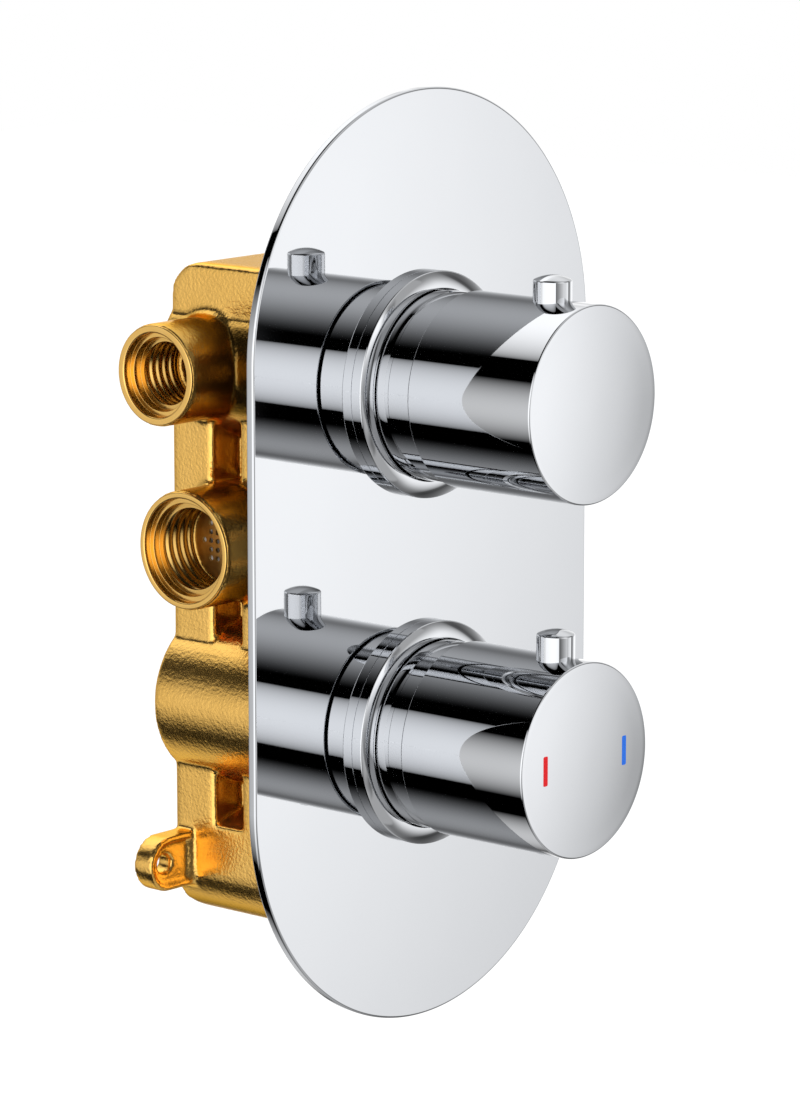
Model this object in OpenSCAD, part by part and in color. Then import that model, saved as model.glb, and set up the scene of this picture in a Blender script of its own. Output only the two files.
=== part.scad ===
// Concealed thermostatic shower valve: a cast brass body set in the wall, a long
// round-ended cover plate on the tiles, and two round handles, one above the other.
// Origin: centre of the plate's rear face. +X right, +Y into the wall, +Z up.
// The upper handle turns a ceramic disc that opens the left or the right outlet.
// The lower handle turns a screw that sets the temperature.

/* [Front plate] */
// Width of the plate, also twice the radius of its round ends
plate_w = 146; // [134:1:170]
// Height of the plate
plate_h = 270; // [255:1:320]
// Thickness of the plate
plate_t = 2.8; // [2.2:0.1:3.4]
// Rounding of the plate's polished front edge
plate_edge = 0.5; // [0.2:0.1:0.9]
// Distance between the two handle axes
handle_pitch = 101.3; // [98:0.5:112]
// Depth of the seal's groove in the rear face
gasket_t = 1.2; // [0.8:0.1:1.4]
// Width of the seal
gasket_w = 5; // [3:0.5:8]
// Distance from the plate's edge to the seal
gasket_inset = 4; // [3:0.5:8]

/* [Collars and sleeves] */
// Outer radius of a sleeve
sleeve_r = 27.1; // [25:0.1:29]
// Wall of a sleeve
sleeve_wall = 2; // [1.6:0.1:2.3]
// Wall of the sleeve's turned-in front lip
lip_wall = 1.35; // [1.1:0.05:1.5]
// Radial gap between a collar and its sleeve
collar_gap = 0.4; // [0.3:0.05:0.6]
// Radial width of a collar's front face
collar_w = 5.04; // [4.4:0.02:6.6]
// Height of a collar on the plate's front face
collar_h = 3.86; // [3.2:0.1:4.6]
// Rounding of a collar's front edges
collar_edge = 0.7; // [0.3:0.1:1]
// Depth of the shallow dish in a collar's front face
collar_dish = 0.35; // [0.2:0.05:0.5]
// Radial thickness of a collar's spigot
spigot_wall = 2.2; // [2:0.1:2.6]
// Depth of the spot faces behind the plate that the nuts bear on
spot_t = 0.3; // [0.2:0.05:0.5]
// Thickness of the nut that holds a collar from behind
collar_nut_t = 2.4; // [1.6:0.2:4]
// Radial thickness of that nut
collar_nut_w = 3.2; // [2.4:0.2:4.4]
// Width of a collar's o-ring
collar_ring_d = 1.7; // [1.4:0.1:1.8]
// Distance from the plate's front face to an index ring
index_from = 5.6; // [4.9:0.1:6]
// Width of an index ring along the sleeve
index_w = 3.4; // [2.6:0.1:4]
// Radial thickness of an index ring
index_t = 1; // [0.8:0.05:1.1]
// How far an index ring stands above its sleeve
index_proud = 0.2; // [0.1:0.05:0.3]
// Width of the split and of the notch in an index ring
index_split = 1.6; // [1:0.1:2.4]

/* [Handles] */
// How far a knob's side stands out past its sleeve
knob_out = 0.95; // [0.5:0.05:1.6]
// Wall of a knob
knob_wall = 2.3; // [2.1:0.05:2.4]
// Thickness of a knob's front face
knob_face = 3.2; // [2.6:0.1:4]
// Rounding of a knob's front edge
knob_edge = 0.9; // [0.5:0.1:1.4]
// Plate's front face to the front of the upper knob
upper_front = 61.1; // [60:0.1:66]
// Plate's front face to the rear edge of the upper knob
upper_rear = 17.05; // [16.5:0.05:18.4]
// Plate's front face to the axis of the upper lever pin
upper_pin_at = 45.98; // [42:0.1:48]
// How far the upper lever pin stands out of its knob
upper_pin_out = 7.15; // [6:0.05:11]
// Plate's front face to the front of the lower knob
lower_front = 58.9; // [57.8:0.1:62]
// Plate's front face to the rear edge of the lower knob
lower_rear = 14.65; // [14.4:0.05:15.9]
// Plate's front face to the axis of the lower lever pin
lower_pin_at = 47.85; // [44:0.1:48.5]
// How far the lower lever pin stands out of its knob
lower_pin_out = 8.35; // [6:0.05:11]
// Radius of a lever pin
pin_r = 5.5; // [4.5:0.1:6.2]
// Height of a lever pin's domed top
pin_dome = 1.4; // [0.8:0.1:2]
// Radius of a lever pin's screwed shank
pin_shank_r = 3; // [2:0.1:3.6]
// Gap between a knob and its sleeve
knob_gap = 0.8; // [0.6:0.1:1.2]
// Radius of a knob's inner hub
hub_r = 9; // [8.4:0.1:10]
// Radius of a knob's splined insert
insert_r = 6.5; // [6.2:0.1:7]
// Thickness of the ribs in a knob
rib_t = 2; // [1.4:0.1:3]
// Depth of the ribs in a knob
rib_h = 7; // [4:0.5:10]
// Radius of a knob's grub screw
grub_r = 2; // [1.5:0.1:2.4]
// Length of a knob's grub screw
grub_len = 4; // [3:0.2:5]
// Plate's front face to the axis of the override button
button_at = 45.2; // [42:0.1:47]
// Radius of the override button
button_r = 4.4; // [3.8:0.1:5]
// How far the override button stands out of its knob
button_out = 1.1; // [0.6:0.1:1.6]
// How far the override button is pushed in
button_travel = 1.2; // [0.8:0.1:1.6]
// Width of a temperature mark
mark_w = 2; // [1.4:0.1:3]
// Height of a temperature mark
mark_h = 8.6; // [6:0.1:12]
// Knob axis to the middle of a temperature mark
mark_at = 17.6; // [14:0.1:21]
// Depth of a temperature mark in the knob's face
mark_t = 0.6; // [0.4:0.1:1]

/* [Valve body] */
// Half the width of the body
body_x = 16; // [15.5:0.25:18]
// Wall plane to the front of the body's flange
body_front = 37; // [36:0.5:40]
// Thickness of the front flange
flange_t = 18.1; // [17.4:0.1:18.6]
// Width of the recess between the flange and the rear web
recess_w = 10.8; // [10.2:0.1:11.2]
// Depth of that recess from each side
recess_d = 12; // [8:0.2:12.4]
// Lower housing to the lower end of the recess
recess_drop = 11.5; // [6:0.5:14]
// Slope of that end over the recess's depth
recess_slope = 3.8; // [1:0.2:5]
// Thickness of the rear web
web_t = 16.3; // [15.9:0.1:17.6]
// Upper handle axis to the top of the body
body_top = 30; // [27:0.1:34]
// Lower handle axis to the bottom of the body
body_bottom = 65.6; // [62:0.1:70]
// Rounding of the body's long edges
body_edge = 1.7; // [1.2:0.1:2.6]
// Rounding of the body's lower sides
body_bottom_edge = 15.5; // [10:0.5:15.5]
// Rounding of the body's upper rear edge
body_top_rear = 12; // [6:0.5:14]
// Rounding of the body's lower rear edge
body_bottom_rear = 6; // [4:0.5:9]
// Wall of the upper housing round its cartridge bore
upper_housing_wall = 3.75; // [3.25:0.25:5.5]
// Wall of the lower housing round its cartridge bore
lower_housing_wall = 7.8; // [7.2:0.1:9]
// How far the housings stand out behind the rear web
housing_out = 0.2; // [0.1:0.1:1.6]
// How far a sleeve's seat stands out past the sleeve
seat_lip = 0.4; // [0.2:0.1:1.9]
// Depth of those seats
seat_t = 4; // [3:0.2:6]
// How far a spigot's side lies in from the sleeve's
spigot_in = 3.1; // [2.7:0.1:3.3]
// Length of those spigots
spigot_len = 10; // [9.4:0.1:12]
// Half the distance between the two fixing holes
lug_x = 27.4; // [26:0.2:33]
// Height of a fixing lug
lug_h = 16.5; // [13:0.5:18]
// Thickness of a fixing lug
lug_t = 7; // [5:0.2:9]
// Radius of a fixing hole
lug_hole_r = 3; // [2:0.1:4]
// Body's bottom to the fixing holes
lug_up = 18.15; // [17:0.05:20]
// Distance from the web's rear face in to the lugs'
lug_in = 1; // [0.4:0.1:2]
// Depth of the sunk face of a lug
lug_sink = 1.2; // [0.6:0.1:2]
// Width of the rim round that face
lug_rim = 1.6; // [1:0.1:2.4]

/* [Ports] */
// Body centre to the mouth of an outlet
outlet_x = 39.6; // [38:0.2:44]
// Rear of the body to an outlet's axis
outlet_in = 16; // [15:0.1:16.8]
// Outer radius of an outlet boss
outlet_r = 15; // [14.2:0.1:16.5]
// Radius of the mouth of an outlet
outlet_mouth_r = 12.3; // [11.5:0.1:13.2]
// Radius of an outlet's pipe thread at its crests
outlet_thread_r = 9.315; // [8.8:0.005:9.8]
// Depth of an outlet's mouth
outlet_mouth = 5.4; // [4:0.1:7]
// Length of an outlet's thread
outlet_thread = 14; // [11:0.5:15]
// Body centre to the mouth of an inlet
inlet_x = 37.5; // [36.5:0.1:42]
// Rear of the body to an inlet's axis
inlet_in = 24.5; // [24:0.1:25]
// Outer radius of an inlet boss
inlet_r = 17.5; // [17:0.1:19]
// Radius of the mouth of an inlet
inlet_mouth_r = 15.25; // [14.5:0.05:16]
// Radius of an inlet's pipe thread at its crests
inlet_thread_r = 12.06; // [11.8:0.01:12.6]
// Depth of an inlet's mouth
inlet_mouth = 4.6; // [3.6:0.1:5.4]
// Length of an inlet's thread
inlet_thread = 13; // [12:0.1:14]
// Radius of the fillet where a boss meets the body
flare = 3.2; // [2:0.1:3.6]

/* [Waterways] */
// Radius of the channel that carries mixed water up
mixed_r = 3.4; // [2.8:0.1:3.6]
// Body's front to that channel
mixed_in = 4.8; // [4.6:0.1:5]
// Radius of the channels that carry hot and cold water down
feed_r = 3.2; // [2.6:0.1:3.3]
// Body centre to those channels
feed_x = 6; // [5.8:0.1:6.4]
// Inlet axis to the hot channel, towards the rear
hot_back = 13.8; // [13.5:0.1:14]
// Inlet axis to the cold channel, towards the front
cold_fore = 7.5; // [7.2:0.1:7.7]
// Half the wall between the left and right waterways
split_wall = 1.6; // [1.2:0.1:1.9]

/* [Cartridges] */
// Radial thickness of a spigot
spigot_t = 3; // [2.8:0.1:3.2]
// Thickness of a cartridge's flange
flange_ring_t = 4.5; // [3.8:0.1:5]
// Radius of a cartridge's nose
nose_r = 9.5; // [9.2:0.1:10]
// Plate's front face to the front of a cartridge's nose
nose_front = 21.2; // [20:0.1:23]
// Radius of a spindle
spindle_r = 4.6; // [4.4:0.05:4.8]
// Number of splines on a spindle's end
splines = 20; // [16:1:24]
// Depth of those splines
spline_h = 0.6; // [0.4:0.05:0.7]
// Step from a spigot's bore in to the thermostat's bore
thermo_step = 4; // [3.4:0.1:4.2]
// Radial thickness from the thermostat's bore in to the shuttle
barrel_t = 3.9; // [3.7:0.1:4.2]
// Length of the shuttle
shuttle_len = 19.1; // [18.5:0.1:19.5]
// Radius of the wax capsule
wax_r = 6; // [5.4:0.1:6.6]
// Step from a spigot's bore in to the diverter's bore
diverter_step = 3; // [2.6:0.1:3.2]
// Depth of the diverter's chamber behind the flange's front
diverter_depth = 20; // [19.8:0.1:20.8]
// How far the discs' edge lies in from the diverter's bore
disc_in = 4; // [3.7:0.1:4.4]
// Thickness of a ceramic disc
disc_t = 4; // [3.6:0.1:4.2]
// Radius of a disc's hole, as a share of the disc's
disc_hole_share = 0.3; // [0.26:0.01:0.31]
// Ceramic left between a disc's hole and its edge
disc_rim = 1.2; // [0.8:0.1:1.4]

/* [Check valves] */
// Radius of a check valve's barrel
check_r = 10; // [9.6:0.1:10.4]
// Radius of a check valve's seat opening
check_seat_r = 6.4; // [5.8:0.1:6.8]
// Radius of a poppet's disc
poppet_r = 7.3; // [7:0.1:7.6]
// Radius of a poppet's stem
poppet_stem_r = 1.2; // [1:0.05:1.5]
// How far a poppet opens
poppet_travel = 2.6; // [2:0.1:2.8]

/* [Fits] */
// Radial gap of pieces that are screwed or pressed together
seat_gap = 0.05; // [0.03:0.01:0.08]
// Radial gap of pieces that turn or slide in a bore
run_gap = 0.08; // [0.05:0.01:0.1]
// Gap between faces that pass each other
face_gap = 0.3; // [0.2:0.02:0.4]

/* [Hidden] */
$fn = 96;

// Overrun of every cut past the face it opens, and lap of pieces made as one
over = 0.5;
lap = 0.4;

// Colours
chrome = [0.82, 0.83, 0.85];
brass = [0.80, 0.60, 0.28];
steel = [0.70, 0.71, 0.73];
ceramic = [0.93, 0.92, 0.88];
plastic = [0.90, 0.90, 0.88];
dark = [0.12, 0.12, 0.13];

// Handle heights
knob_r = sleeve_r + knob_out;
spigot_r = sleeve_r - spigot_in;
seat_r = sleeve_r + seat_lip;
mouth_r = spigot_r - spigot_t;
thermo_r = mouth_r - thermo_step;
diverter_r = mouth_r - diverter_step;
upper_housing_r = diverter_r + upper_housing_wall;
lower_housing_r = thermo_r + lower_housing_wall;
shuttle_r = thermo_r - barrel_t;
disc_r = diverter_r - disc_in;
disc_hole_r = disc_r * disc_hole_share;
disc_hole_at = disc_r - disc_rim - disc_hole_r;
upper_z = handle_pitch / 2;
lower_z = -handle_pitch / 2;

// Stations along Y, from the user to the inside of the wall
plate_front = -plate_t;
collar_front = plate_front - collar_h;
body_flange = body_front + flange_t;
body_web = body_flange + recess_w;
body_rear = body_web + web_t;
housing_rear = body_rear + housing_out;
housing_edge = 1.2;
spigot_front = body_front - spigot_len;
outlet_y = body_rear - outlet_in;
inlet_y = body_rear - inlet_in;
mixed_y = body_front + mixed_in;
nose_y = plate_front - nose_front;
flange_ring_y = body_front - flange_ring_t;

// Collar and sleeve radii
sleeve_bore_r = sleeve_r - sleeve_wall;
collar_bore_r = sleeve_r + collar_gap;
collar_r = collar_bore_r + collar_w;
collar_spigot_r = collar_bore_r + spigot_wall;
plate_hole_r = collar_spigot_r + seat_gap;
collar_ring_r = sleeve_r + collar_ring_d / 2 + seat_gap;
knob_bore_r = knob_r - knob_wall;
lip_r = knob_bore_r - collar_gap - seat_gap;
lip_bore_r = lip_r - lip_wall;
lip_len = 3.8;
lip_back = 4.5;
nut_front = seat_gap - spot_t;
nut_rear = nut_front + collar_nut_t;
spot_r = collar_spigot_r + collar_nut_w + face_gap;

// Handle values that both handles share
hub_gap = 2;
insert_back = 1.2;
insert_depth = 22;
pin_sink = 1.45;
pin_shank_len = 4.4;
grub_from_rear = 5;
key_hole_r = grub_r * 5 / 4;
spindle_in = 20;
sleeve_relief = 2;
hub_rear = nose_y - hub_gap;
grub_y = hub_rear - grub_from_rear;

// The lower knob's grub screw, turned clear of the button's arm
lower_grub_turn = -40;

// Override button, and the ring with the tooth that its arm meets
button_y = plate_front - button_at;
button_lip = 1.1;
button_flange_t = 1.2;
button_flange_r = button_r + button_lip;
button_flange_top = sqrt(knob_bore_r * knob_bore_r - button_flange_r * button_flange_r)
  - face_gap;
button_arm_w = 3;
button_arm_t = 1.4;
button_stem_r = 2.4;
limit_w = 8.5;
limit_t = 1.3;
limit_tooth = 0.3;
limit_tooth_w = 3;
limit_tooth_angle = -10;
limit_r = lip_bore_r - seat_gap;
button_arm_out = limit_r - limit_t - limit_tooth - face_gap;

// Thermostat stations
hot_y = inlet_y + hot_back;
cold_y = inlet_y - cold_fore;
window_r = 1.9;
window_w = 4.6;
seal_past = 4;
seal_stations = [(mixed_y + cold_y) / 2, (cold_y + hot_y) / 2, hot_y + seal_past];
barrel_groove = 1.8;
thermo_floor = 3.7;
thermo_rear = housing_rear - thermo_floor;
barrel_r = thermo_r - 3 * seat_gap;
barrel_lip = 2;
barrel_front = body_front + barrel_lip;
barrel_rear = thermo_rear - 2 * face_gap - over;
barrel_bore_r = shuttle_r + run_gap;
screw_r = 3.6;
screw_bore_r = 6.95;
screw_depth = 34;
screw_front = nose_y + screw_depth;
screw_len = 19;
screw_disc_t = 2;
key_w = 2;
key_h = 0.9;
drive_from = 5;
drive_len = 14;
drive_y = screw_front + screw_disc_t + drive_from;
cup_t = 3.2;
cup_len = 4;
cup_rim = 1.2;
cup_y = drive_y + drive_len + cup_len + cup_t;
wax_in = 6;
wax_past = 0.5;
wax_front = barrel_front + wax_in;
wax_rear = hot_y + wax_past;
shuttle_front = (cold_y + hot_y - shuttle_len) / 2;
shuttle_rear = shuttle_front + shuttle_len;
cap_t = 3;
o_ring_d = 1.6;
groove_w = 2.2;
ring_pitch = 6;

// Diverter stations
diverter_rear = body_front + diverter_depth;
diverter_lip = 2.4;
disc_seal_t = 2.8;
fixed_disc_y = diverter_rear - disc_seal_t - disc_t;
moving_disc_y = fixed_disc_y - disc_t - run_gap;
driver_r = 9;
driver_t = 5.5;
tongue_w = 4;
tongue_h = 2;

// Check valve stations, measured from the body's middle plane
thread_end = inlet_x - inlet_mouth - inlet_thread;
strainer_t = 0.8;
strainer_hole_r = 0.8;
strainer_hole_pitch = 2.6;
check_rim_t = 1.3;
check_front = thread_end - strainer_t - check_rim_t - 2 * seat_gap;
check_len = 9.2;
check_rear = check_front - check_len;
check_rim_w = 1.4;
check_rim_r = check_r + check_rim_w;
check_seat_t = 1.6;
check_wall = 1.5;
check_bore_r = check_r - check_wall;
check_hub_r = 2.4;
check_hub_t = 1.3;
poppet_t = 1.6;
poppet_x = -check_front + check_seat_t + run_gap;
chamber_r = 8.3;

// A cylinder along Y from one station to another
module rod(y0, y1, r) {
  translate([0, y0, 0]) rotate([-90, 0, 0]) cylinder(h = y1 - y0, r = r);
}

// A tube along Y
module tube(y0, y1, r, bore) {
  difference() {
    rod(y0, y1, r);
    rod(y0 - over, y1 + over, bore);
  }
}

// A cylinder along X
module bar(x0, x1, r) {
  translate([x0, 0, 0]) rotate([0, 90, 0]) cylinder(h = x1 - x0, r = r);
}

// A cylinder along Z
module post(z0, z1, r) {
  translate([0, 0, z0]) cylinder(h = z1 - z0, r = r);
}

// A ring of round section about Y
module ring(y, radius, section) {
  translate([0, y, 0]) rotate([-90, 0, 0]) rotate_extrude()
    translate([radius, 0]) circle(section, $fn = 24);
}

// A revolved outline about Y: the outline's x is the radius and its y is Y
module spun() {
  rotate([-90, 0, 0]) rotate_extrude() children();
}

// A rectangle with its own rounding at each corner, from the lower left, turning left
module rounded(x0, x1, y0, y1, r) {
  difference() {
    translate([x0, y0]) square([x1 - x0, y1 - y0]);
    if (r[0] > 0) corner_cut(x0, y0, 1, 1, r[0]);
    if (r[1] > 0) corner_cut(x1, y0, -1, 1, r[1]);
    if (r[2] > 0) corner_cut(x1, y1, -1, -1, r[2]);
    if (r[3] > 0) corner_cut(x0, y1, 1, -1, r[3]);
  }
}

// What a rounded corner takes away
module corner_cut(x, y, dx, dy, r) {
  translate([x, y]) scale([dx, dy]) difference() {
    translate([-over, -over]) square([r + over, r + over]);
    translate([r, r]) circle(r);
  }
}

module at_upper() {
  translate([0, 0, upper_z]) children();
}

module at_lower() {
  translate([0, 0, lower_z]) children();
}

module both_handles() {
  at_upper() children();
  at_lower() children();
}

module both_sides() {
  children();
  mirror([1, 0, 0]) children();
}

// A coil about Z, made as one unbroken wire
module coil(radius, wire, len, turns) {
  sides = 6;
  per_turn = 16;
  steps = ceil(turns * per_turn);
  rise = len - 2 * wire;
  slope = atan2(rise / turns, 2 * PI * radius);
  points = [for (i = [0:steps]) let (a = 360 * turns * i / steps)
    for (j = [0:sides - 1]) let (
      p = 360 * j / sides,
      out = radius + wire * cos(p),
      side = wire * sin(p))
    [out * cos(a) + side * sin(a) * sin(slope),
     out * sin(a) - side * cos(a) * sin(slope),
     wire + rise * i / steps + side * cos(slope)]];
  walls = [for (i = [0:steps - 1]) for (j = [0:sides - 1]) let (
      k = (j + 1) % sides,
      a = i * sides + j,
      b = i * sides + k)
    each [[a, b, b + sides], [a, b + sides, a + sides]]];
  start = [for (j = [1:sides - 2]) [0, j + 1, j]];
  last = steps * sides;
  end = [for (j = [1:sides - 2]) [last, last + j, last + j + 1]];
  polyhedron(points = points, faces = concat(walls, start, end));
}

// The plate's outline, drawn in or out by a distance
module plate_outline(inset) {
  r = plate_w / 2 - inset;
  c = (plate_h - plate_w) / 2;
  union() {
    translate([0, c]) circle(r, $fn = 180);
    translate([0, -c]) circle(r, $fn = 180);
    translate([-r, -c]) square([2 * r, 2 * c]);
  }
}

// A slab of the plate's outline between two stations
module plate_slab(y0, y1, inset) {
  translate([0, y1, 0]) rotate([90, 0, 0]) linear_extrude(y1 - y0) plate_outline(inset);
}

module face_plate() {
  color(chrome) difference() {
    union() {
      plate_slab(plate_front + plate_edge, 0, 0);
      plate_slab(plate_front, 0, plate_edge);
    }
    both_handles() {
      rod(plate_front - over, over, plate_hole_r);
      rod(-spot_t, over, spot_r);
    }
    difference() {
      plate_slab(-gasket_t, over, gasket_inset);
      plate_slab(-gasket_t - over, 2 * over, gasket_inset + gasket_w);
    }
  }
}

module plate_gasket() {
  color(dark) difference() {
    plate_slab(-gasket_t, 0, gasket_inset + seat_gap);
    plate_slab(-gasket_t - over, over, gasket_inset + gasket_w - seat_gap);
  }
}

// A collar: a rounded ring on the plate, with a spigot through it
module collar() {
  groove_y = plate_front / 2;
  color(chrome) difference() {
    union() {
      spun() difference() {
        rounded(collar_bore_r, collar_r, collar_front, plate_front,
          [collar_edge, collar_edge, 0, 0]);
        polygon([
          [collar_bore_r + collar_edge, collar_front - over],
          [collar_r - collar_edge, collar_front - over],
          [collar_r - collar_edge, collar_front],
          [(collar_bore_r + collar_r) / 2, collar_front + collar_dish],
          [collar_bore_r + collar_edge, collar_front]]);
      }
      tube(plate_front - lap, nut_rear, collar_spigot_r, collar_bore_r);
    }
    tube(groove_y - collar_ring_d / 2, groove_y + collar_ring_d / 2,
      collar_ring_r + collar_ring_d / 2 + seat_gap, collar_bore_r - over);
  }
}

module collar_upper() {
  at_upper() collar();
}

module collar_lower() {
  at_lower() collar();
}

// Thin nuts that hold the collars from behind
module collar_nuts() {
  flats = 6;
  color(brass) both_handles() difference() {
    tube(nut_front, nut_rear, collar_spigot_r + collar_nut_w, collar_spigot_r + seat_gap);
    for (i = [0:flats - 1]) rotate([0, 360 * i / flats, 0])
      translate([collar_spigot_r + collar_nut_w * 2 / 3, -over, -collar_nut_w / 2])
        cube([collar_nut_w, collar_nut_t + 4 * over, collar_nut_w]);
  }
}

module collar_o_rings() {
  color(dark) both_handles()
    ring(plate_front / 2, collar_ring_r, collar_ring_d / 2 - seat_gap);
}

// A sleeve: a chromed tube from the body's seat to just behind the knob
module sleeve(rear) {
  shoulder = plate_front - rear + knob_gap;
  index_y = plate_front - index_from - index_w;
  color(chrome) difference() {
    union() {
      rod(shoulder, body_front - seat_gap, sleeve_r);
      rod(shoulder - lip_len, shoulder + lap, lip_r);
    }
    rod(shoulder - lip_len - over, body_front + over, lip_bore_r);
    rod(shoulder + lip_back, body_front + over, spigot_r + seat_gap);
    rod(shoulder + lip_back, spigot_front - sleeve_relief, sleeve_bore_r);
    tube(index_y - seat_gap, index_y + index_w + seat_gap, sleeve_r + over,
      sleeve_r + index_proud - index_t - seat_gap);
  }
}

module sleeve_upper() {
  at_upper() sleeve(upper_rear);
}

module sleeve_lower() {
  at_lower() sleeve(lower_rear);
}

// Split rings that snap round the sleeves, each with a notch at the top as its index
module index_rings() {
  y = plate_front - index_from - index_w;
  r = sleeve_r + index_proud;
  color(chrome) both_handles() difference() {
    tube(y, y + index_w, r, r - index_t);
    translate([-index_split / 2, y - over, -r - over])
      cube([index_split, index_w + 2 * over, 2 * index_t + over]);
    translate([-index_split / 2, y - over, r - index_t / 2])
      cube([index_split, index_w / 2 + over, index_t]);
  }
}

// A knob: a die-cast cup with a splined hub, ribs, a lever pin's seat and a key hole
module knob(front, rear, pin_at, grub_turn) {
  y0 = plate_front - front;
  y1 = plate_front - rear;
  inside = y0 + knob_face;
  pin_y = plate_front - pin_at;
  rib_count = 4;
  difference() {
    union() {
      difference() {
        spun() rounded(0, knob_r, y0, y1, [0, knob_edge, 0, 0]);
        rod(inside, y1 + over, knob_bore_r);
      }
      rod(inside - lap, hub_rear, hub_r);
      for (i = [0:rib_count - 1]) rotate([0, 45 + 360 * i / rib_count, 0])
        translate([hub_r - lap, inside - lap, -rib_t / 2])
          cube([knob_bore_r - hub_r + 2 * lap, rib_h + lap, rib_t]);
    }
    rod(hub_rear - insert_depth, hub_rear + over, insert_r + seat_gap);
    translate([0, pin_y, 0]) {
      post(knob_r - pin_sink, knob_r + over, pin_r + seat_gap);
      post(knob_bore_r - knob_wall, knob_r, pin_shank_r + seat_gap);
    }
    rotate([0, grub_turn, 0]) translate([0, grub_y, 0]) {
      post(-hub_r - over, 0, grub_r + seat_gap);
      post(-knob_r - over, -knob_bore_r + knob_wall, key_hole_r);
    }
  }
}

// A lever pin: a domed stub screwed into the top of its knob
module lever_pin(pin_at, top) {
  base = knob_r - pin_sink + seat_gap;
  dome_r = (pin_r * pin_r + pin_dome * pin_dome) / (2 * pin_dome);
  color(chrome) translate([0, plate_front - pin_at, 0]) union() {
    intersection() {
      post(base, top, pin_r);
      translate([0, 0, top - dome_r]) sphere(dome_r);
    }
    post(base - pin_shank_len, base + lap, pin_shank_r);
  }
}

// The outline of a splined shaft
module spline(r, teeth, h) {
  polygon([for (i = [0:2 * teeth - 1]) let (
      a = 180 * i / teeth,
      q = i % 2 == 0 ? r : r - h)
    [q * sin(a), q * cos(a)]]);
}

// A length of splined shaft along Y
module splined(y0, y1, r) {
  translate([0, y1, 0]) rotate([90, 0, 0]) linear_extrude(y1 - y0)
    spline(r, splines, spline_h);
}

// The plastic insert that a knob grips its spindle with
module knob_insert(grub_turn) {
  y1 = hub_rear - insert_back;
  y0 = hub_rear - insert_depth + seat_gap;
  color(plastic) difference() {
    rod(y0, y1, insert_r);
    splined(y0 + insert_back, y1 + over, spindle_r + seat_gap);
    rotate([0, grub_turn, 0]) translate([0, grub_y, 0])
      post(-insert_r - over, -spindle_r + spline_h, grub_r + seat_gap);
  }
}

// The screw under a hub that locks a knob
module grub_screw(grub_turn) {
  tip = -spindle_r - seat_gap;
  color(steel) rotate([0, grub_turn, 0]) translate([0, grub_y, 0]) difference() {
    post(tip - grub_len, tip, grub_r);
    post(tip - grub_len - over, tip - grub_len / 2, grub_r / 2, $fn = 6);
  }
}

module knob_upper() {
  color(chrome) at_upper() knob(upper_front, upper_rear, upper_pin_at, 0);
}

module lever_pin_upper() {
  at_upper() lever_pin(upper_pin_at, knob_r + upper_pin_out);
}

module knob_insert_upper() {
  at_upper() knob_insert(0);
}

module grub_screw_upper() {
  at_upper() grub_screw(0);
}

// The outline of a temperature mark, a bar with round corners
module mark_outline(gap) {
  r = mark_w / 4;
  rounded(-mark_w / 2 - gap, mark_w / 2 + gap, -mark_h / 2 - gap, mark_h / 2 + gap,
    [r, r, r, r]);
}

// A temperature mark let into the lower knob's face
module mark(x, gap, proud) {
  y0 = plate_front - lower_front;
  translate([x, y0 + mark_t, 0]) rotate([90, 0, 0]) linear_extrude(mark_t + proud)
    mark_outline(gap);
}

module knob_lower() {
  color(chrome) at_lower() difference() {
    knob(lower_front, lower_rear, lower_pin_at, lower_grub_turn);
    translate([0, button_y, 0])
      post(-knob_r - over, -button_flange_top, button_r + run_gap);
    mark(-mark_at, seat_gap, over);
    mark(mark_at, seat_gap, over);
  }
}

module lever_pin_lower() {
  at_lower() lever_pin(lower_pin_at, knob_r + lower_pin_out);
}

module knob_insert_lower() {
  at_lower() knob_insert(lower_grub_turn);
}

module grub_screw_lower() {
  at_lower() grub_screw(lower_grub_turn);
}

module hot_mark() {
  color([0.85, 0.12, 0.10]) at_lower() mark(-mark_at, 0, 0);
}

module cold_mark() {
  color([0.15, 0.38, 0.85]) at_lower() mark(mark_at, 0, 0);
}

// The button under the lower knob, with the arm that meets the limit ring's tooth
module override_button() {
  top = knob_r + button_out;
  dome_r = (button_r * button_r + button_out * button_out) / (2 * button_out);
  arm_rear = plate_front - lower_rear - lip_len / 2;
  color(chrome) at_lower() union() {
    translate([0, button_y, 0]) {
      intersection() {
        post(-top, -button_flange_top + lap, button_r);
        translate([0, 0, -top + dome_r]) sphere(dome_r);
      }
      post(-button_flange_top, -button_flange_top + button_flange_t, button_flange_r);
      post(-button_flange_top, -button_arm_out + button_arm_t, button_stem_r);
    }
    translate([-button_arm_w / 2, button_y, -button_arm_out])
      cube([button_arm_w, arm_rear - button_y, button_arm_t]);
  }
}

module button_spring() {
  z0 = -button_arm_out + button_arm_t + seat_gap;
  wire = 0.35;
  turns = 5;
  color(steel) at_lower() translate([0, button_y, z0])
    coil(button_stem_r - wire, wire, -hub_r - seat_gap - z0, turns);
}

// A ring in the lower sleeve's lip, with the tooth at the limit temperature
module limit_ring() {
  y0 = plate_front - lower_rear + knob_gap - lip_len + over;
  color(plastic) at_lower() union() {
    tube(y0, y0 + limit_w - over, limit_r, limit_r - limit_t);
    rotate([0, limit_tooth_angle, 0])
      translate([-limit_tooth_w / 2, y0, -limit_r + limit_t - lap])
        cube([limit_tooth_w, limit_w / 2, limit_tooth + lap]);
  }
}

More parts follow.
